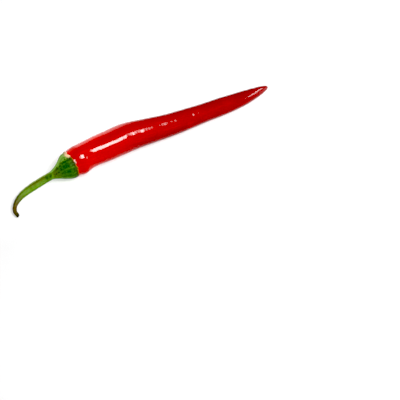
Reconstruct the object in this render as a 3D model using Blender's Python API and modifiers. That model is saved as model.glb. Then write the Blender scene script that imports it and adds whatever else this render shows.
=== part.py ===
"""A red chilli pepper as picked, lying on its side: the fruit, its green calyx and the cut stem.

Metres, +Z up, the tip towards +X. The fruit and the calyx are turned straight, with the stem's joint
at the bottom and the tip at the top, and then bent along one axis. The stem is swept along its own.
"""

import math

import bpy

MM = 0.001
GAP = 0.3 * MM  # between pieces that touch

# The middle of the object's box, seen from above, in the drawing that the axes below are given in.
BOX_MIDDLE = (43.25 * MM, -1.68 * MM)

# Axis of calyx and fruit, from the stem's joint to the tip: x, y and height in mm.
BODY_AXIS = [
    (-15.4, 0.05, 5.8),
    (-8.0, -0.5, 7.1),
    (0.0, 0.2, 8.6),
    (9.0, 1.5, 8.6),
    (21.0, 1.35, 8.7),
    (34.0, 1.4, 8.55),
    (48.0, -0.1, 7.65),
    (62.0, -1.75, 6.85),
    (80.0, -2.55, 5.95),
    (104.0, -3.6, 4.95),
    (118.0, -2.75, 3.65),
    (131.0, -0.3, 1.2),
]
# Axis of the stem, from the same joint to the cut end, which hooks round and rests on the table.
STEM_AXIS = [
    (-15.4, 0.05, 5.8),
    (-22.0, 0.05, 4.6),
    (-28.7, -0.45, 3.6),
    (-34.0, -1.35, 2.85),
    (-38.8, -3.65, 2.2),
    (-42.0, -6.85, 1.7),
    (-43.3, -10.35, 1.35),
    (-42.4, -13.15, 1.23),
]

# Where the fruit's shoulder is, along the body's axis from the stem's joint.
SHOULDER = 15.7 * MM

# Fruit: distance past the shoulder and radius in mm, from the domed end in the calyx to the tip.
FRUIT_OUTLINE = [
    (-5.2, 0.0),
    (-4.9, 4.0),
    (-3.7, 6.9),
    (-0.9, 8.15),
    (2.0, 8.45),
    (5.5, 8.3),
    (11.5, 8.2),
    (19.5, 8.5),
    (28.0, 8.7),
    (37.0, 8.1),
    (48.0, 7.35),
    (60.0, 6.7),
    (73.0, 6.05),
    (87.0, 5.55),
    (101.0, 5.05),
    (111.0, 4.4),
    (118.5, 3.6),
    (124.0, 2.75),
    (128.5, 1.75),
    (131.0, 0.95),
    (132.0, 0.0),
]
# Calyx: the same measures, from the stem's joint along its outside to the rim.
CALYX_OUTLINE = [
    (-15.7, 2.2),
    (-14.0, 2.75),
    (-11.5, 3.95),
    (-8.5, 5.7),
    (-5.8, 7.3),
    (-4.0, 8.0),
    (-2.6, 8.35),
]
RIM_THICKNESS = 0.5 * MM

# Stem: the share of its length and the radius in mm.
STEM_RADII = [(0.0, 2.2), (0.3, 2.2), (0.5, 1.95), (0.6, 1.7), (0.78, 1.2), (0.9, 1.1), (1.0, 1.25)]

AROUND = 40  # sides of the turned pieces
STEM_SIDES_HALF = 6  # half as many sides on the stem, less the two where its halves meet


def smooth_path(points, steps):
    """Points on a smooth curve through the given points, with this many steps between each two."""
    first = [2 * a - b for a, b in zip(points[0], points[1])]
    last = [2 * a - b for a, b in zip(points[-1], points[-2])]
    guide = [first, *points, last]
    path = []
    for p0, p1, p2, p3 in zip(guide, guide[1:], guide[2:], guide[3:]):
        for step in range(steps):
            t = step / steps
            path.append(
                tuple(
                    b + 0.5 * t * (c - a + t * (2 * a - 5 * b + 4 * c - d + t * (3 * (b - c) + d - a)))
                    for a, b, c, d in zip(p0, p1, p2, p3)
                )
            )
    path.append(tuple(points[-1]))
    return path


def in_metres(points):
    return [tuple(value * MM for value in point) for point in points]


def clear_scene():
    for thing in list(bpy.data.objects):
        bpy.data.objects.remove(thing, do_unlink=True)


def collection(name, hidden=False):
    made = bpy.data.collections.new(name)
    made.hide_render = hidden
    bpy.context.scene.collection.children.link(made)
    return made


def material(name, color, roughness):
    made = bpy.data.materials.new(name)
    made.use_nodes = True
    shader = made.node_tree.nodes["Principled BSDF"]
    shader.inputs["Base Color"].default_value = (*color, 1.0)
    shader.inputs["Roughness"].default_value = roughness
    shader.inputs["Metallic"].default_value = 0.0
    made.diffuse_color = (*color, 1.0)
    return made


def poly_curve(name, points):
    """A curve object whose one straight-edged spline runs through the points."""
    curve = bpy.data.curves.new(name, "CURVE")
    curve.dimensions = "3D"
    spline = curve.splines.new("POLY")
    spline.points.add(len(points) - 1)
    for place, point in zip(spline.points, points):
        place.co = (*point, 1.0)
    return bpy.data.objects.new(name, curve)


def turned(name, outline, axis_object):
    """A solid turned from (distance along the axis, radius) points and bent along the axis."""
    mesh = bpy.data.meshes.new(name)
    points = [(radius, 0.0, SHOULDER + along) for along, radius in outline]
    mesh.from_pydata(points, [(i, i + 1) for i in range(len(points) - 1)], [])
    piece = bpy.data.objects.new(name, mesh)
    screw = piece.modifiers.new("turn", "SCREW")
    screw.axis = "Z"
    screw.steps = AROUND
    screw.render_steps = AROUND
    screw.use_merge_vertices = True
    screw.merge_threshold = 0.01 * MM
    screw.use_smooth_shade = True
    bend = piece.modifiers.new("bend", "CURVE")
    bend.object = axis_object
    bend.deform_axis = "POS_Z"
    return piece


def fruit(axis_object):
    outline = in_metres(smooth_path(FRUIT_OUTLINE, 3))
    return turned("fruit", outline[::-1], axis_object)


def calyx(axis_object):
    """A bell whose hollow side follows the fruit's domed end, a gap away from it."""
    outside = in_metres(smooth_path(CALYX_OUTLINE, 2))
    rim_along, rim_radius = outside[-1]
    dome = [
        (along - GAP, radius)
        for along, radius in in_metres(smooth_path(FRUIT_OUTLINE, 3))
        if along < rim_along and radius < rim_radius - RIM_THICKNESS
    ]
    inside = [(rim_along, rim_radius - RIM_THICKNESS), *dome[::-1]]
    joint = [(outside[0][0], 0.0)]
    return turned("calyx", inside[::-1] + outside[::-1] + joint, axis_object)


def stem():
    points = in_metres(smooth_path(STEM_AXIS, 5))
    lengths = [0.0]
    for here, there in zip(points, points[1:]):
        lengths.append(lengths[-1] + math.dist(here, there))
    points[0] = tuple(a + (b - a) * GAP / math.dist(*points[:2]) for a, b in zip(*points[:2]))
    piece = poly_curve("stem", points)
    piece.data.bevel_depth = MM
    piece.data.bevel_resolution = STEM_SIDES_HALF - 2
    piece.data.use_fill_caps = True
    for place, length in zip(piece.data.splines[0].points, lengths):
        place.radius = radius_along(STEM_RADII, length / lengths[-1])
    return piece


def radius_along(stations, share):
    """The radius between the two stations that this share of the length falls between."""
    for (start, before), (end, after) in zip(stations, stations[1:]):
        if share <= end:
            return before + (after - before) * (share - start) / (end - start)
    return stations[-1][1]


def main():
    clear_scene()
    parts = collection("chilli_pepper")
    guides = collection("guides", hidden=True)

    middle = bpy.data.objects.new("middle", None)
    middle.location = (-BOX_MIDDLE[0], -BOX_MIDDLE[1], 0.0)
    guides.objects.link(middle)

    body_axis = poly_curve("body_axis", in_metres(smooth_path(BODY_AXIS, 8)))
    body_axis.hide_render = True
    body_axis.display_type = "WIRE"
    guides.objects.link(body_axis)

    looks = {
        "fruit": ((0.60, 0.005, 0.004), 0.2),
        "calyx": ((0.045, 0.13, 0.012), 0.45),
        "stem": ((0.16, 0.28, 0.02), 0.5),
    }
    pieces = [fruit(body_axis), calyx(body_axis), stem()]
    for piece in pieces:
        parts.objects.link(piece)
        piece.data.materials.append(material(piece.name, *looks[piece.name]))
    for thing in [body_axis, *pieces]:
        thing.parent = middle


main()
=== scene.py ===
"""A red chilli pepper as picked, lying on a pale floor: glossy fruit, green calyx and hooked, ridged stem.

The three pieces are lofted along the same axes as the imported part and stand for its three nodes.
Lengths on the pieces are in millimetres. Places of the camera and the lights, the floor and the
distances of bumps are in metres.
A place round a section is a turn, which starts at the top: 90 degrees is the near side, 180 the
underside and -90 the far side.
"""

import math

import bpy
import numpy as np
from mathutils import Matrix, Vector


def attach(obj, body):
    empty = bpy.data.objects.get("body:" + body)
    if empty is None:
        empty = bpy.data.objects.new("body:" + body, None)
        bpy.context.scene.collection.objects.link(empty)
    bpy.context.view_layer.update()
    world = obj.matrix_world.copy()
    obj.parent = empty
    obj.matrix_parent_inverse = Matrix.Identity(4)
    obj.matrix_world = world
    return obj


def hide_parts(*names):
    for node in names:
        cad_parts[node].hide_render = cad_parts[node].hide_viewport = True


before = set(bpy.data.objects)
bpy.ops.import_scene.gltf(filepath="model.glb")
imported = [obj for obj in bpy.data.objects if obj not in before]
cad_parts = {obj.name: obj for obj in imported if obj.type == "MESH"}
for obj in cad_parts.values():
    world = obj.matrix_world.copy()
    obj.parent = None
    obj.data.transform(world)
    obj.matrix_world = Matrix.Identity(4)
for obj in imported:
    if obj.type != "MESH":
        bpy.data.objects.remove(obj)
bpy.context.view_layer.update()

MM = 0.001

# ---------------------------------------------------------------- the part's own axes and outlines

BOX_MIDDLE = np.array([43.25, -1.68, 0.0])  # of the part's box, in the drawing that the axes are given in

# Axis of calyx and fruit, from the stem's joint to the tip.
BODY_AXIS = [
    (-15.4, 0.05, 5.8),
    (-8.0, -0.5, 7.1),
    (0.0, 0.2, 8.6),
    (9.0, 1.5, 8.6),
    (21.0, 1.35, 8.7),
    (34.0, 1.4, 8.55),
    (48.0, -0.1, 7.65),
    (62.0, -1.75, 6.85),
    (80.0, -2.55, 5.95),
    (104.0, -3.6, 4.95),
    (118.0, -2.75, 3.65),
    (131.0, -0.3, 1.2),
]
# Axis of the stem, from the same joint to the cut end.
STEM_AXIS = [
    (-15.4, 0.05, 5.8),
    (-22.0, 0.05, 4.6),
    (-28.7, -0.45, 3.6),
    (-34.0, -1.35, 2.85),
    (-38.8, -3.65, 2.2),
    (-42.0, -6.85, 1.7),
    (-43.3, -10.35, 1.35),
    (-42.4, -13.15, 1.23),
]
SHOULDER = 15.7  # where the fruit's shoulder is, along the body's axis from the stem's joint

# Distance past the shoulder and radius, from the domed end in the calyx to the tip.
FRUIT_OUTLINE = [
    (-5.2, 0.0),
    (-4.9, 4.0),
    (-3.7, 6.9),
    (-0.9, 8.15),
    (2.0, 8.45),
    (5.5, 8.3),
    (11.5, 8.2),
    (19.5, 8.5),
    (28.0, 8.66),
    (32.5, 8.45),
    (37.0, 8.12),
    (48.0, 7.35),
    (60.0, 6.7),
    (73.0, 6.05),
    (87.0, 5.55),
    (101.0, 5.05),
    (111.0, 4.4),
    (118.5, 3.6),
    (124.0, 2.75),
    (128.5, 1.75),
    (131.0, 0.95),
    (132.0, 0.0),
]
FRUIT_LENGTH = 132.0
# The same measures of the calyx's outside, from the stem's joint to past the rim.
CALYX_OUTLINE = [
    (-15.7, 2.2),
    (-14.0, 2.75),
    (-11.5, 3.95),
    (-8.5, 5.7),
    (-5.8, 7.3),
    (-4.0, 8.0),
    (-2.6, 8.35),
    (0.5, 8.8),
]
# Share of the stem's length and radius.
STEM_RADII = [(0.0, 2.2), (0.3, 2.2), (0.5, 1.95), (0.6, 1.7), (0.78, 1.2), (0.9, 1.1), (1.0, 1.25)]

# ---------------------------------------------------------------- lines, axes and meshes


def spline(points, steps=24):
    """Points on a smooth curve through the given points."""
    points = np.array(points, float)
    guide = np.vstack([2 * points[0] - points[1], points, 2 * points[-1] - points[-2]])
    t = (np.arange(steps) / steps)[:, None]
    runs = [
        b + 0.5 * t * (c - a + t * (2 * a - 5 * b + 4 * c - d + t * (3 * (b - c) + d - a)))
        for a, b, c, d in zip(guide, guide[1:], guide[2:], guide[3:])
    ]
    return np.vstack([*runs, points[-1:]])


def lengths(line):
    """How far along the line each of its points is."""
    return np.concatenate([[0.0], np.cumsum(np.linalg.norm(np.diff(line, axis=0), axis=1))])


def looked_up(at, stations, values):
    """Linear interpolation of one or more columns of values."""
    values = np.asarray(values)
    if values.ndim == 1:
        return np.interp(at, stations, values)
    return np.stack([np.interp(at, stations, column) for column in values.T], axis=-1)


def evenly(line, spacing):
    """The line with its points this far apart."""
    run = lengths(line)
    return looked_up(np.linspace(0.0, run[-1], round(run[-1] / spacing) + 1), run, line)


def eased(line, spacing, width, over_end):
    """The line smoothed over about this width.

    over_end gives what lies past an end from what lies before it."""
    reach = int(3 * width / spacing)
    weights = np.exp(-0.5 * (np.arange(-reach, reach + 1) * spacing / width) ** 2)
    weights /= weights.sum()
    before = over_end(line[1 : reach + 1][::-1], line[0])
    after = over_end(line[-reach - 1 : -1][::-1], line[-1])
    padded = np.vstack([before, line, after])
    return np.stack([np.convolve(column, weights, "valid") for column in padded.T], axis=-1)


def straight_on(points, end):
    """A line goes straight on past its end."""
    return 2 * end - points


def over_the_axis(points, end):
    """An outline that ends on its axis goes on as its own mirror image."""
    return points * (1, -1)


AXIS_SPACING = 0.25
AXIS_EASING = 2.0


class Axis:
    """A line in space, with the directions of up and of the near side at each distance along it."""

    def __init__(self, points, towards_tip=True):
        line = evenly(spline(points) - BOX_MIDDLE, AXIS_SPACING)
        self.line = eased(line, AXIS_SPACING, AXIS_EASING, straight_on)
        self.run = lengths(self.line)
        self.length = self.run[-1]
        forward = np.gradient(self.line, axis=0) * (1 if towards_tip else -1)
        forward /= np.linalg.norm(forward, axis=1, keepdims=True)
        up = np.array([0.0, 0.0, 1.0]) - forward * forward[:, 2:]
        self.up = up / np.linalg.norm(up, axis=1, keepdims=True)
        self.near = np.cross(forward, self.up)
        self.ahead = forward * (1 if towards_tip else -1)

    def surface(self, distance, turn, radius):
        """Points this far from the axis, in millimetres. Past an end, the axis goes straight on."""
        inside = np.clip(distance, 0.0, self.length)
        past = (distance - inside)[..., None]
        centre = looked_up(inside, self.run, self.line) + past * looked_up(inside, self.run, self.ahead)
        up = looked_up(inside, self.run, self.up)
        near = looked_up(inside, self.run, self.near)
        out = np.cos(turn)[..., None] * up + np.sin(turn)[..., None] * near
        return centre + radius[..., None] * out


def turns(sides):
    """One row of turns round a section, in radians."""
    return np.linspace(0.0, 2 * math.pi, sides, endpoint=False)[None, :]


def hump(value, centre, width):
    """1 at the centre, falling to 0 about two widths away."""
    return np.exp(-(((value - centre) / width) ** 2))


def facing(turn, degrees, sharpness=2.0):
    """1 on the side at this turn, falling off round the section."""
    return np.exp(sharpness * (np.cos(turn - math.radians(degrees)) - 1.0))


def straightened(radius, turn, along):
    """Where points would be if the piece's axis were straight, for patterns that follow the piece."""
    return np.stack([radius * np.cos(turn), radius * np.sin(turn), along], axis=-1)


def stepped(value, low, high):
    """0 below low and 1 above high, with a smooth step between."""
    t = np.clip((value - low) / (high - low), 0.0, 1.0)
    return t * t * (3.0 - 2.0 * t)


def waves(along, turn, seed, count, shortest, longest, most_round):
    """Gentle irregular waves of about height 1 over a surface, the same on every run.

    The seed draws as many of them as the count says, with lengths from the shortest to the longest
    and from none to most_round of them round the section."""
    draw = np.random.default_rng(seed)
    total = 0.0
    for _ in range(count):
        length = math.exp(draw.uniform(math.log(shortest), math.log(longest)))
        spokes = int(draw.integers(0, most_round + 1))
        phase, lean = draw.uniform(0.0, 2 * math.pi, 2)
        total = total + np.sin(2 * math.pi * along / length + phase + spokes * turn) * math.cos(lean)
        total = total + np.sin(2 * math.pi * along / length + phase - spokes * turn) * math.sin(lean)
    return total / math.sqrt(count)


FLOOR_GAP = 0.01  # no point of a piece is nearer to the floor than this


def closed_tube(name, points, **marks):
    """A closed mesh from rows of points in millimetres. The first and last rows close in fans.

    marks are numbers or vectors for each point, kept as named attributes of the mesh."""
    rows, sides = points.shape[:2]
    flat = points.reshape(-1, 3)
    flat[:, 2] = np.maximum(flat[:, 2], FLOOR_GAP)
    ends = np.stack([points[0].mean(axis=0), points[-1].mean(axis=0)])
    corners = np.arange(rows * sides).reshape(rows, sides)
    beside = np.roll(corners, -1, axis=1)
    quads = np.stack([corners[:-1], beside[:-1], beside[1:], corners[1:]], axis=-1).reshape(-1, 4)
    first = rows * sides
    fans = [(first, b, a) for a, b in zip(corners[0], beside[0])]
    fans += [(first + 1, a, b) for a, b in zip(corners[-1], beside[-1])]
    mesh = bpy.data.meshes.new(name)
    mesh.from_pydata(np.vstack([flat, ends]) * MM, [], quads.tolist() + fans)
    mesh.polygons.foreach_set("use_smooth", np.ones(len(mesh.polygons), bool))
    for mark, values in marks.items():
        values = np.broadcast_to(values, (rows, sides, *np.shape(values)[2:]))
        caps = np.stack([values[0].mean(axis=0), values[-1].mean(axis=0)])
        values = np.concatenate([values.reshape(rows * sides, -1), caps.reshape(2, -1)])
        vector = values.shape[1] == 3
        kept = mesh.attributes.new(mark, "FLOAT_VECTOR" if vector else "FLOAT", "POINT")
        kept.data.foreach_set("vector" if vector else "value", values.astype(np.float32).ravel())
    mesh.update()
    piece = bpy.data.objects.new(name, mesh)
    bpy.context.scene.collection.objects.link(piece)
    return piece


def face_outwards(piece):
    """Turns the faces round if the closed mesh is inside out."""
    mesh = piece.data
    mesh.calc_loop_triangles()
    points = np.array([v.co for v in mesh.vertices])
    corners = np.array([t.vertices for t in mesh.loop_triangles])
    if np.linalg.det(points[corners]).sum() < 0:
        mesh.flip_normals()


# ---------------------------------------------------------------- the fruit

FRUIT_SIDES = 176
FRUIT_SPACING = 0.34
FRUIT_EASING = 0.9
UNDERSIDE = 180.0
NEAR_UNDERSIDE = 125.0  # the lower edge as the camera sees it
FAR_TOP = -55.0  # the upper edge as the camera sees it
LOW_SIDE = 150.0  # between the near side and the underside


def fruit_profile():
    """The fruit's outline as (distance past the shoulder, radius), evenly spaced and free of kinks."""
    outline = evenly(spline(FRUIT_OUTLINE), FRUIT_SPACING)
    return eased(outline, FRUIT_SPACING, FRUIT_EASING, over_the_axis)


def fruit_swellings(along, turn):
    """The uneven growth of the pod, from its shoulder to its tip."""
    lobes = 0.20 * hump(along, 2.0, 14.0) * np.cos(3 * turn - 0.5)
    bulge = 0.35 * hump(along, 2.5, 4.0) * facing(turn, NEAR_UNDERSIDE)
    waist = -0.35 * hump(along, 13.0, 6.0) * facing(turn, NEAR_UNDERSIDE)
    section = 0.10 * np.cos(2 * turn + along / 40.0) * hump(along, 60.0, 60.0)
    saddle = -0.56 * hump(along, 12.4, 5.6) * facing(turn, 20.0, 3.0)
    brow = 0.55 * hump(along, 44.0, 12.0) * facing(turn, 30.0, 1.5)
    crest = 0.45 * hump(along, 66.0, 20.0) * facing(turn, -5.0, 6.0)
    knuckles = (0.07 * hump(along, 57.0, 2.5) + 0.20 * hump(along, 79.0, 4.0)) * facing(turn, 25.0, 4.0)
    slow = 0.09 * waves(along, turn, 3, 10, 16.0, 45.0, 2)
    dents = 0.014 * waves(along, turn, 8, 16, 5.0, 11.0, 4)
    return lobes + bulge + waist + section + saddle + brow + crest + knuckles + slow + dents


def fruit_ripples(along, turn):
    """The fine ripple that breaks up the highlight, with none at the shoulder and little low down."""
    strength = stepped(along, 5.0, 18.0) * (1.0 + 0.7 * hump(along, 24.0, 12.0))
    strength = strength * (1.0 - 0.85 * facing(turn, 165.0, 0.9))
    long_waves = 0.020 * waves(along, turn, 9, 24, 2.6, 8.0, 3)
    short_waves = 0.007 * waves(along, turn, 5, 16, 1.6, 4.5, 9)
    return strength * (long_waves + short_waves)


def fruit_shoulder(along, turn):
    """The roll and the groove at the calyx's rim, the flat on top of them and the dimple in the groove."""
    collar = (0.34 * hump(along, 3.1, 1.5) - 0.65 * hump(along, -0.8, 1.9)) * facing(turn, 50.0, 1.5)
    flat = -0.40 * hump(along, 0.0, 6.0) * facing(turn, 26.0, 8.0)
    dimple = -0.18 * hump(along, -1.4, 0.6) * facing(turn, 56.0, 6.0)
    return collar + flat + dimple


def fruit_relief(along, turn):
    """How far the skin stands proud of the turned shape."""
    resting = 1.0 - 0.85 * facing(turn, UNDERSIDE, 3.0)
    fade = stepped(along, -3.0, 1.0) * (1.0 - stepped(along, 118.0, 131.0))
    grown = resting * fruit_swellings(along, turn) + fruit_ripples(along, turn)
    return fade * grown + fruit_shoulder(along, turn)


def fruit_radius(along, turn):
    profile = fruit_profile()
    return np.interp(along, profile[:, 0], profile[:, 1]) + fruit_relief(along, turn)


def make_fruit(body):
    profile = fruit_profile()[1:-1]
    turn = turns(FRUIT_SIDES)
    along = profile[:, :1] + 0.0 * turn
    radius = profile[:, 1:] + fruit_relief(along, turn)
    return closed_tube(
        "fruit_skin",
        body.surface(SHOULDER + along, turn, radius),
        along=along / FRUIT_LENGTH,
        skin=straightened(radius, turn, along),
        low_side=facing(turn, LOW_SIDE, 1.2),
        far_side=facing(turn, FAR_TOP, 2.0),
    )


# ---------------------------------------------------------------- the calyx

CALYX_SIDES = 240
CALYX_ROWS = 84
EDGE_ROWS = 7
INNER_ROWS = 22
RIBS = 5  # round the calyx and the stem
RIB_TURN = 0.35  # radians from the top to the first rib
RIM = -2.1  # where the calyx ends, past the shoulder
HUG = 0.14  # between the calyx's inner side and the fruit
EDGE = 0.34  # the calyx's thickness at its rim


def ribs(turn, power=1.5):
    """1 on each rib's crest, 0 between the ribs."""
    return (0.5 + 0.5 * np.cos(RIBS * (turn - RIB_TURN))) ** power


def rim_line(turn):
    """Where the calyx ends on the fruit: a small tooth on each rib, and uneven scallops between."""
    teeth = 0.40 * ribs(turn, power=3.0)
    scallops = 0.16 * np.sin(11 * turn + 0.7) + 0.12 * np.sin(17 * turn + 2.1) + 0.08 * np.sin(29 * turn)
    return RIM - 1.1 * facing(turn, 100.0, 5.0) + 0.5 * facing(turn, 58.0, 8.0) + teeth + scallops


def calyx_outside(along, turn):
    """The radius of the calyx's outside, which is ribbed at the stem and hugs the fruit at the rim."""
    outline = spline(CALYX_OUTLINE)
    radius = np.interp(along, outline[:, 0], outline[:, 1])
    grown = stepped(along, -SHOULDER, RIM)
    crest = (0.26 * (1 - grown) + 0.07) * (ribs(turn) - 0.4)
    veins = 0.05 * stepped(along, -13.0, -9.0) * np.cos(2 * RIBS * (turn - RIB_TURN) + 0.25 * along)
    pleats = 0.03 * stepped(along, -12.0, -6.0) * np.cos(23 * turn + 1.5 * np.sin(3 * turn))
    uneven = 0.07 * waves(along, turn, 21, 12, 3.0, 9.0, 5) * stepped(along, -15.5, -11.0)
    radius = radius + crest + veins + pleats + uneven
    hugging = fruit_radius(along, turn) + HUG + EDGE
    return radius + stepped(along, RIM - 2.6, RIM - 0.4) * (hugging - radius)


def calyx_inside(rim, turn):
    """Distances past the shoulder and radii of the rows from the rim back over the fruit's domed end."""
    profile = fruit_profile()
    run = lengths(profile)
    start = np.interp(rim - 0.25, profile[:, 0], run)
    back = start * (1.0 - np.linspace(0.0, 0.98, INNER_ROWS)[:, None])
    dome = looked_up(back, run, profile)
    along = dome[..., 0] - HUG * stepped(-back, -start + 0.5, 0.0)
    return along, dome[..., 1] + HUG + fruit_relief(dome[..., 0], turn)


def bent(share, start, corner, end):
    """A round bend from start to end by way of the corner."""
    return (1 - share) ** 2 * start + 2 * share * (1 - share) * corner + share**2 * end


def make_calyx(body):
    turn = turns(CALYX_SIDES)
    rim = rim_line(turn)
    share = np.linspace(0.0, 1.0, CALYX_ROWS)[:, None]
    along_out = -SHOULDER + share * (rim + SHOULDER)
    radius_out = calyx_outside(along_out, turn)
    along_in, radius_in = calyx_inside(rim, turn)
    bend = np.linspace(0.0, 1.0, EDGE_ROWS + 2)[1:-1, None]
    along_edge = bent(bend, along_out[-1], rim + 0.22, along_in[0])
    radius_edge = bent(bend, radius_out[-1], 0.5 * (radius_out[-1] + radius_in[0]), radius_in[0])

    along = np.vstack([along_out, along_edge, along_in])
    radius = np.vstack([radius_out, radius_edge, radius_in])
    edge = np.zeros_like(along)
    edge[CALYX_ROWS - 1 : CALYX_ROWS + EDGE_ROWS + 1] = 1.0
    points = body.surface(SHOULDER + along, turn, radius)
    return closed_tube(
        "calyx_leaf",
        points,
        along=np.clip((along + SHOULDER) / (rim + SHOULDER), 0.0, 1.0),
        skin=straightened(radius, turn, along),
        place=points.copy(),
        edge=edge,
        from_rim=np.abs(along - rim),
        veins=np.cos(2.5 * RIBS * (turn - RIB_TURN) + 0.9 * np.sin(0.6 * along)),
        far_side=facing(turn, FAR_TOP, 1.6),
        low_side=facing(turn, LOW_SIDE, 1.6),
        # Where the cream spot with its painted highlight lies, on top of the rim.
        patch=facing(turn, -15.0, 9.0),
    )


# ---------------------------------------------------------------- the stem

STEM_SIDES = 88
STEM_ROWS = 190
STEM_OVERLAP = 0.7  # how far the stem goes on inside the calyx
STEM_TWIST = 0.5  # radians that the ribs turn by along the stem
CUT_DEPTH = 0.25  # how far short of the axis's end the stem's side stops
# Rows of the cut end: how far past the side's last row, the share of its radius and how ragged.
CUT_ROWS = [
    (0.05, 0.97, 0.0),
    (0.09, 0.9, 0.4),
    (0.1, 0.76, 1.0),
    (0.08, 0.6, 1.0),
    (0.04, 0.42, 0.6),
    (0.02, 0.2, 0.3),
]


def stem_side(distance, turn, share):
    """The radius of the stem's side, with ribs that run on from the calyx's and fade along it."""
    stations = spline(STEM_RADII)
    radius = np.interp(share, stations[:, 0], stations[:, 1])
    twisted = turn + STEM_TWIST * share
    height = 0.26 * (1 - stepped(share, 0.35, 0.95)) + 0.07
    radius = radius + height * (ribs(twisted) - 0.4)
    radius = radius + 0.03 * np.cos(13 * twisted + 2.0 * share) * (1 - 0.5 * share)
    radius = radius + 0.045 * waves(distance, turn, 12, 12, 2.0, 8.0, 3) * stepped(share, 0.0, 0.1)
    return radius * (1 - 0.14 * stepped(share, 0.88, 1.0))


def make_stem():
    axis = Axis(STEM_AXIS, towards_tip=False)
    turn = turns(STEM_SIDES)
    distance = np.linspace(-STEM_OVERLAP, axis.length - CUT_DEPTH, STEM_ROWS)[:, None] + 0.0 * turn
    share = distance / axis.length
    radius = stem_side(distance, turn, share)
    distance = distance - 0.9 * facing(turn, 60.0, 1.0) * stepped(share, 0.9, 1.0)

    ragged = 0.05 * np.sin(7 * turn + 1.0) + 0.04 * np.sin(13 * turn)
    cut_distance = [distance[-1:] + step + rough * ragged for step, _, rough in CUT_ROWS]
    cut_radius = [radius[-1:] * shrink for _, shrink, _ in CUT_ROWS]
    distance = np.vstack([distance, *cut_distance])
    radius = np.vstack([radius, *cut_radius])
    cut = np.zeros_like(distance)
    cut[STEM_ROWS:] = 1.0
    points = axis.surface(distance, turn, radius)
    return closed_tube(
        "stem_stalk",
        points,
        along=np.clip(distance / axis.length, 0.0, 1.0),
        skin=straightened(radius, turn, distance),
        place=points.copy(),
        cut=cut,
        top_side=facing(turn, 5.0, 4.0),
        far_side=facing(turn, FAR_TOP, 2.4),
        near_side=facing(turn, 40.0, 6.0),
    )


# ---------------------------------------------------------------- materials


def linear(red, green, blue):
    """A colour as a screen shows it, from 0 to 255, in the scene's linear light."""
    values = [c / 255.0 for c in (red, green, blue)]
    return tuple(c / 12.92 if c <= 0.04045 else ((c + 0.055) / 1.055) ** 2.4 for c in values)


class Nodes:
    """Short ways to add nodes to a tree. Values may be numbers, colours or other nodes' outputs."""

    def __init__(self, tree):
        self.tree = tree

    def put(self, node, socket, value):
        target = node.inputs[socket]
        if isinstance(value, bpy.types.NodeSocket):
            self.tree.links.new(value, target)
        elif isinstance(value, tuple) and target.type == "RGBA":
            target.default_value = (*value, 1.0)
        else:
            target.default_value = value

    def node(self, kind, inputs, **choices):
        made = self.tree.nodes.new("ShaderNode" + kind)
        for choice, value in choices.items():
            setattr(made, choice, value)
        for socket, value in inputs.items():
            self.put(made, socket, value)
        return made

    def mark(self, name):
        """A number kept on the mesh."""
        return self.node("Attribute", {}, attribute_name=name).outputs["Fac"]

    def vector(self, name, scale=(1.0, 1.0, 1.0)):
        """A vector kept on the mesh, stretched."""
        kept = self.node("Attribute", {}, attribute_name=name).outputs["Vector"]
        return self.node("VectorMath", {0: kept, 1: scale}, operation="MULTIPLY").outputs[0]

    def math(self, operation, *values):
        return self.node("Math", dict(enumerate(values)), operation=operation).outputs[0]

    def product(self, first, *others):
        for other in others:
            first = self.math("MULTIPLY", first, other)
        return first

    def step(self, value, low, high, to_low=0.0, to_high=1.0):
        """The value taken smoothly from one range to another, and held at its ends."""
        inputs = {"Value": value, "From Min": low, "From Max": high, "To Min": to_low, "To Max": to_high}
        return self.node("MapRange", inputs, interpolation_type="SMOOTHSTEP").outputs[0]

    def mix(self, share, low, high):
        return self.node("Mix", {0: share, 6: low, 7: high}, data_type="RGBA").outputs[2]

    def noise(self, place, scale, detail=3.0, roughness=0.5, distortion=0.0):
        inputs = {"Vector": place, "Scale": scale, "Detail": detail, "Roughness": roughness}
        return self.node("TexNoise", {**inputs, "Distortion": distortion}).outputs[0]

    def cells(self, place, scale, feature="F1"):
        made = self.node("TexVoronoi", {"Vector": place, "Scale": scale}, feature=feature)
        return made.outputs["Distance"]

    def ramp(self, value, stops):
        """A colour that changes smoothly from stop to stop, which are given in order."""
        made = self.node("ValToRGB", {0: value})
        made.color_ramp.interpolation = "B_SPLINE"
        for place, colour in stops[2:]:
            made.color_ramp.elements.new(place)
        for element, (place, colour) in zip(made.color_ramp.elements, stops):
            element.position = place
            element.color = (*colour, 1.0)
        return made.outputs[0]

    def bump(self, height, distance, normal=None):
        """Distance is in metres. normal is the output of another bump, to add this one to."""
        inputs = {"Height": height, "Distance": distance}
        if normal is not None:
            inputs["Normal"] = normal
        return self.node("Bump", inputs).outputs[0]


class Paint(Nodes):
    """A material and the nodes of its one shader."""

    def __init__(self, name, **settings):
        self.material = bpy.data.materials.new(name)
        self.material.use_nodes = True
        super().__init__(self.material.node_tree)
        self.shader = self.tree.nodes["Principled BSDF"]
        for socket, value in settings.items():
            self.put(self.shader, socket.replace("_", " "), value)


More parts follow.
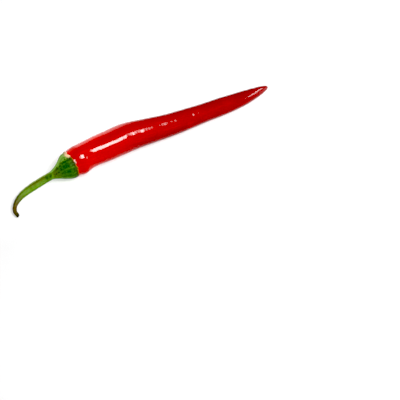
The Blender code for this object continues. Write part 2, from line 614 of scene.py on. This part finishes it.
def fruit_red(paint, skin, along, low_side):
    """Orange red at the calyx and darker towards the tip, with faint clouds and specks, painted shade low
    down and painted light on the far side near the calyx.
    """
    base = paint.ramp(
        along,
        [
            (0.0, linear(180, 24, 14)),
            (0.14, linear(176, 18, 10)),
            (0.45, linear(155, 9, 5)),
            (0.8, linear(136, 8, 5)),
            (1.0, linear(146, 10, 6)),
        ],
    )
    # Painted shade: a darker red on the low side, past the shoulder.
    painted_shade = paint.product(
        paint.step(low_side, 0.22, 0.5),
        paint.step(along, 0.14, 0.36),
        paint.step(along, 0.8, 0.5, 0.15, 0.55),
    )
    colour = paint.mix(painted_shade, base, linear(112, 4, 3))
    # Painted light: a brighter red on the far side near the calyx.
    painted_light = paint.product(paint.step(paint.mark("far_side"), 0.3, 0.8), paint.step(along, 0.4, 0.1))
    colour = paint.mix(painted_light, colour, linear(236, 36, 22))
    clouds = paint.noise(skin, 0.11, 4.0, 0.55)
    colour = paint.mix(paint.step(clouds, 0.45, 0.75, 0.0, 0.35), colour, linear(168, 0, 0))
    fibres = paint.noise(paint.vector("skin", (1.1, 1.1, 0.06)), 1.0)
    colour = paint.mix(paint.step(fibres, 0.5, 0.8, 0.0, 0.22), colour, linear(236, 30, 12))
    specks = paint.step(paint.cells(skin, 0.55), 0.0, 0.16, 0.18, 0.0)
    return paint.mix(specks, colour, linear(240, 60, 30))


def fruit_paint():
    """Glossy red under a clear coat, which is thin on the low side."""
    paint = Paint("chilli_red_skin", Coat_Roughness=0.04, Coat_IOR=1.5, IOR=1.28)
    skin = paint.vector("skin")
    low_side = paint.mark("low_side")
    paint.put(paint.shader, "Base Color", fruit_red(paint, skin, paint.mark("along"), low_side))
    dull = paint.noise(skin, 0.35, 4.0)
    paint.put(paint.shader, "Roughness", paint.step(dull, 0.3, 0.7, 0.2, 0.3))
    paint.put(paint.shader, "Coat Weight", paint.step(low_side, 0.2, 0.42, 1.0, 0.12))
    ripple = paint.noise(paint.vector("skin", (0.12, 0.12, 0.75)), 1.0, 2.0)
    pores = paint.noise(skin, 2.2, 2.0)
    normal = paint.bump(pores, 0.000002, paint.bump(ripple, 0.00002))
    paint.put(paint.shader, "Normal", normal)
    paint.put(paint.shader, "Coat Normal", normal)
    return paint.material


def green_bands(paint):
    """Mottling that the calyx and the stem share, so that it runs on across their joint."""
    place = paint.vector("place")
    return paint.noise(place, 0.55, 5.0, 0.6, 0.6), paint.noise(place, 2.4, 4.0, 0.6)


def calyx_green(paint, along, mottles, grain):
    """Light green at the stem and dark at the rim, mottled, with paler lines and olive at the neck."""
    base = paint.ramp(
        along,
        [
            (0.0, linear(110, 144, 54)),
            (0.2, linear(94, 120, 44)),
            (0.36, linear(72, 98, 38)),
            (0.52, linear(56, 94, 36)),
            (0.68, linear(48, 88, 34)),
            (0.84, linear(50, 80, 34)),
            (0.93, linear(58, 70, 36)),
            (1.0, linear(72, 62, 36)),
        ],
    )
    colour = paint.mix(paint.step(mottles, 0.54, 0.68, 0.0, 0.6), base, linear(88, 132, 54))
    colour = paint.mix(paint.step(mottles, 0.48, 0.36, 0.0, 0.8), colour, linear(32, 60, 20))
    lines = paint.product(paint.step(paint.mark("veins"), 0.5, 0.9), paint.step(grain, 0.4, 0.6, 0.1, 0.5))
    colour = paint.mix(lines, colour, linear(96, 142, 56))
    olive = paint.product(
        paint.step(along, 0.03, 0.12),
        paint.step(along, 0.42, 0.25),
        paint.step(grain, 0.46, 0.6, 0.0, 0.85),
    )
    return paint.mix(olive, colour, linear(84, 70, 18))


def calyx_sides(paint, colour, along, far):
    """The colour with painted light: lighter on the low side and on the far side."""
    # Painted light: a lighter green on the low side, fading before the rim.
    low = paint.math("ADD", paint.mark("low_side"), paint.step(along, 0.3, 0.45, 0.12, 0.0))
    low = paint.product(paint.step(low, 0.42, 0.6), paint.step(along, 0.95, 0.6))
    colour = paint.mix(low, colour, linear(96, 134, 60))
    # Painted light on the far side: light green, and pale olive near the rim.
    light = paint.mix(paint.step(along, 0.75, 0.95), linear(150, 196, 94), linear(166, 168, 106))
    light = paint.mix(paint.step(paint.mark("veins"), 0.2, -0.6, 0.0, 0.6), light, linear(104, 146, 56))
    return paint.mix(paint.step(far, 0.44, 0.58), colour, light)


def calyx_rim(paint, colour, far, grain):
    """The colour with a dark band before the rim and the torn rim's edge, tan, made cream on the far side
    as painted light, and a cream spot on top, the rim's own cream with a painted highlight.
    """
    ragged = paint.math("ADD", paint.mark("from_rim"), paint.step(grain, 0.2, 0.8, -0.4, 0.4))
    colour = paint.mix(paint.step(ragged, 1.5, 0.5, 0.0, 0.7), colour, linear(42, 50, 24))
    # Painted light: the rim's edge is tan, and cream on the far side.
    rim = paint.mix(paint.step(far, 0.42, 0.7), linear(148, 100, 50), linear(232, 192, 150))
    torn = paint.math("MAXIMUM", paint.step(ragged, 0.5, 0.2), paint.mark("edge"))
    colour = paint.mix(torn, colour, rim)
    # A cream spot on top of the rim: its own cream, with a painted highlight.
    patch = paint.product(paint.step(paint.mark("patch"), 0.4, 0.7), paint.step(ragged, 1.7, 1.0))
    return paint.mix(patch, colour, linear(236, 200, 158))


def calyx_paint():
    paint = Paint("chilli_calyx_green", IOR=1.28)
    along = paint.mark("along")
    blotches, grain = green_bands(paint)
    mottles = paint.noise(paint.vector("place"), 1.0, roughness=0.6)
    # The far side, a little mottled, where the sides and the rim get painted light.
    far = paint.math("ADD", paint.mark("far_side"), paint.step(mottles, 0.3, 0.7, -0.09, 0.09))
    colour = calyx_sides(paint, calyx_green(paint, along, mottles, grain), along, far)
    cells = paint.cells(paint.vector("skin", (1.0, 1.0, 0.6)), 0.9, "DISTANCE_TO_EDGE")
    net = paint.step(cells, 0.0, 0.12, 0.25, 0.0)
    colour = paint.mix(net, colour, linear(92, 138, 52))
    paint.put(paint.shader, "Base Color", calyx_rim(paint, colour, far, grain))
    paint.put(paint.shader, "Roughness", paint.step(blotches, 0.3, 0.7, 0.5, 0.64))
    fine = paint.noise(paint.vector("skin"), 1.6, 5.0, 0.65)
    height = paint.math("ADD", fine, paint.product(net, 1.2))
    paint.put(paint.shader, "Normal", paint.bump(height, 0.00012))
    return paint.material


def stem_green(paint, along, fibres):
    """Green at the calyx and brown past the bend, with fibres, olive on top and painted light on the far
    side.
    """
    base = paint.ramp(
        along,
        [
            (0.0, linear(94, 136, 44)),
            (0.12, linear(84, 120, 30)),
            (0.22, linear(88, 126, 24)),
            (0.38, linear(88, 128, 20)),
            (0.55, linear(92, 124, 22)),
            (0.64, linear(82, 98, 26)),
            (0.73, linear(90, 84, 36)),
            (0.82, linear(94, 72, 40)),
            (0.92, linear(94, 78, 44)),
            (1.0, linear(80, 80, 44)),
        ],
    )
    colour = paint.mix(paint.step(fibres, 0.5, 0.75, 0.0, 0.35), base, linear(108, 146, 30))
    top = paint.math("ADD", paint.mark("top_side"), paint.step(fibres, 0.3, 0.7, -0.06, 0.06))
    top = paint.product(
        paint.step(top, 0.5, 0.75),
        paint.step(along, 0.46, 0.34),
        paint.step(along, 0.05, 0.13),
    )
    colour = paint.mix(top, colour, linear(92, 108, 24))
    # Painted light: a paler green on the far side, over the first half of the stem.
    far = paint.product(paint.step(paint.mark("far_side"), 0.55, 0.8), paint.step(along, 0.62, 0.5))
    return paint.mix(far, colour, linear(140, 164, 66))


def stem_paint():
    paint = Paint("chilli_stem_green", IOR=1.4)
    along = paint.mark("along")
    blotches, grain = green_bands(paint)
    fibres = paint.noise(paint.vector("skin", (1.0, 1.0, 0.12)), 1.6, 4.0, 0.6)
    colour = stem_green(paint, along, fibres)
    dark = paint.product(
        paint.mark("near_side"),
        paint.step(along, 0.14, 0.09),
        paint.step(blotches, 0.35, 0.5, 0.4, 1.0),
    )
    colour = paint.mix(dark, colour, linear(36, 72, 14))
    specks = paint.step(paint.cells(paint.vector("skin", (1.0, 1.0, 0.5)), 1.1), 0.0, 0.2, 0.35, 0.0)
    colour = paint.mix(specks, colour, linear(74, 70, 30))
    end = paint.math("ADD", paint.step(along, 0.965, 0.99), paint.mark("cut"))
    colour = paint.mix(paint.math("MINIMUM", end, 0.97), colour, linear(40, 38, 24))
    paint.put(paint.shader, "Base Color", colour)
    paint.put(paint.shader, "Roughness", paint.step(grain, 0.3, 0.7, 0.4, 0.6))
    height = paint.math("ADD", fibres, paint.product(grain, 0.5))
    paint.put(paint.shader, "Normal", paint.bump(height, 0.00015))
    return paint.material


def floor_paint():
    """Pale, with a little light of its own, more on the far side where the lamps reach it less."""
    paint = Paint("pale_floor", Roughness=0.9, Specular_IOR_Level=0.1, Emission_Color=(1.0, 1.0, 1.0))
    place = paint.node("TexCoord", {}).outputs["Object"]
    cloud = paint.noise(place, 3.0, 2.0)
    paint.put(paint.shader, "Base Color", paint.mix(cloud, (0.55, 0.55, 0.55), (0.58, 0.58, 0.58)))
    across = paint.node("SeparateXYZ", {"Vector": place}).outputs["Y"]
    paint.put(paint.shader, "Emission Strength", paint.step(across, -0.03, 0.03, 0.24, 0.50))
    return paint.material


# ---------------------------------------------------------------- camera and floor

CAMERA_PLACE = Vector((-0.2031, -0.3922, 0.4748))
CAMERA_FORWARD = Vector((0.3370, 0.5474, -0.7660))
CAMERA_LENS = 100.0  # this and the sensor are in millimetres
SENSOR_WIDTH = 36.0
FLOOR_HALF = 4.0  # from its middle to each side


def make_camera():
    camera = bpy.data.objects.new("camera", bpy.data.cameras.new("camera"))
    camera.data.lens = CAMERA_LENS
    camera.data.sensor_width = SENSOR_WIDTH
    camera.data.clip_start = 0.01
    camera.location = CAMERA_PLACE
    camera.rotation_euler = CAMERA_FORWARD.to_track_quat("-Z", "Y").to_euler()
    bpy.context.scene.collection.objects.link(camera)
    bpy.context.scene.camera = camera


def make_floor():
    mesh = bpy.data.meshes.new("floor")
    corners = [(x * FLOOR_HALF, y * FLOOR_HALF, 0.0) for x, y in ((-1, -1), (1, -1), (1, 1), (-1, 1))]
    mesh.from_pydata(corners, [], [(0, 1, 2, 3)])
    mesh.materials.append(floor_paint())
    floor = bpy.data.objects.new("floor", mesh)
    bpy.context.scene.collection.objects.link(floor)


# ---------------------------------------------------------------- light and view

# Strengths of the world.
HORIZON = 0.30
OVERHEAD = 0.16
GLOW = 0.9  # on top of the rest
KEY_PLACE = Vector((-0.005, -0.178, 0.256))
KEY_AIM = Vector((-0.010, 0.0, 0.010))
# Parts of the key light, which fades out in steps: name, left and right edge, how far it is raised,
# height and radiance.
KEY_STRIPS = [
    ("key_start", -0.125, -0.09, 0.0, 0.08, 4.0),
    ("key", -0.09, 0.112, 0.0, 0.115, 12.2),
    ("key_fade", 0.112, 0.138, 0.02, 0.09, 6.0),
    ("key_end", 0.138, 0.165, 0.05, 0.08, 3.0),
]
# Other lamps: name, place, what it faces, width, height and radiance.
LAMPS = [
    ("far_fill", (-0.30, 0.42, 0.40), (0.0, 0.0, 0.01), 0.90, 0.60, 0.3),
    ("tip_card", (0.335, -0.082, 0.12), (0.075, 0.0, 0.004), 0.28, 0.07, 5.0),
]
HAZE = 0.045  # what the view takes off as glare
WHITE = 0.82  # what the view shows as white


def area_light(name, place, aim, width, height, radiance):
    """A soft white rectangular light, whose width lies level."""
    light = bpy.data.lights.new(name, "AREA")
    light.shape = "RECTANGLE"
    light.size = width
    light.size_y = height
    light.energy = radiance * math.pi * width * height
    lamp = bpy.data.objects.new(name, light)
    lamp.location = place
    lamp.rotation_euler = (Vector(aim) - Vector(place)).to_track_quat("-Z", "Y").to_euler()
    lamp.visible_camera = False
    bpy.context.scene.collection.objects.link(lamp)


def key_strip(name, left, right, raised, height, radiance):
    """A part of the key light between two distances across it."""
    ahead = (KEY_AIM - KEY_PLACE).normalized()
    level = ahead.cross(Vector((0.0, 0.0, 1.0))).normalized()
    middle = KEY_PLACE + level * (left + right) / 2 + level.cross(ahead) * raised
    area_light(name, middle, middle + ahead, right - left, height, radiance)


def make_world():
    """Pale at the horizon and dimmer overhead, with a soft glow low down behind the thick end."""
    world = bpy.data.worlds.new("studio")
    world.use_nodes = True
    nodes = Nodes(world.node_tree)
    place = nodes.node("TexCoord", {}).outputs["Generated"]
    right, back, up = nodes.node("SeparateXYZ", {0: place}).outputs
    glow = nodes.product(
        nodes.step(back, 0.2, 0.5, 0.0, GLOW),
        nodes.step(right, 0.32, 0.46, 1.0, 0.0),
        nodes.step(right, 0.04, 0.22, 0.0, 1.0),
        nodes.step(up, 0.30, 0.66, 1.0, 0.0),
    )
    strength = nodes.math("ADD", glow, nodes.step(up, 0.1, 0.75, HORIZON, OVERHEAD))
    background = nodes.tree.nodes["Background"]
    nodes.put(background, "Color", (1.0, 1.0, 1.0))
    nodes.put(background, "Strength", strength)
    bpy.context.scene.world = world


def make_light():
    make_world()
    for strip in KEY_STRIPS:
        key_strip(*strip)
    for lamp in LAMPS:
        area_light(*lamp)


def make_view():
    settings = bpy.context.scene.view_settings
    settings.view_transform = "Standard"
    settings.look = "None"
    settings.use_curve_mapping = True
    settings.curve_mapping.black_level = (HAZE, HAZE, HAZE)
    settings.curve_mapping.white_level = (WHITE, WHITE, WHITE)
    settings.curve_mapping.update()


# ---------------------------------------------------------------- the scene


def main():
    body = Axis(BODY_AXIS)
    looks = [
        (make_fruit(body), fruit_paint(), "fruit_skin", "fruit"),
        (make_calyx(body), calyx_paint(), "calyx_skin", "calyx"),
        (make_stem(), stem_paint(), "stem_skin", "stem"),
    ]
    for piece, material, slot, node in looks:
        face_outwards(piece)
        piece.data.materials.append(material)
        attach(piece, "root")
        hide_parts(node)
    make_floor()
    make_light()
    make_view()
    make_camera()


main()
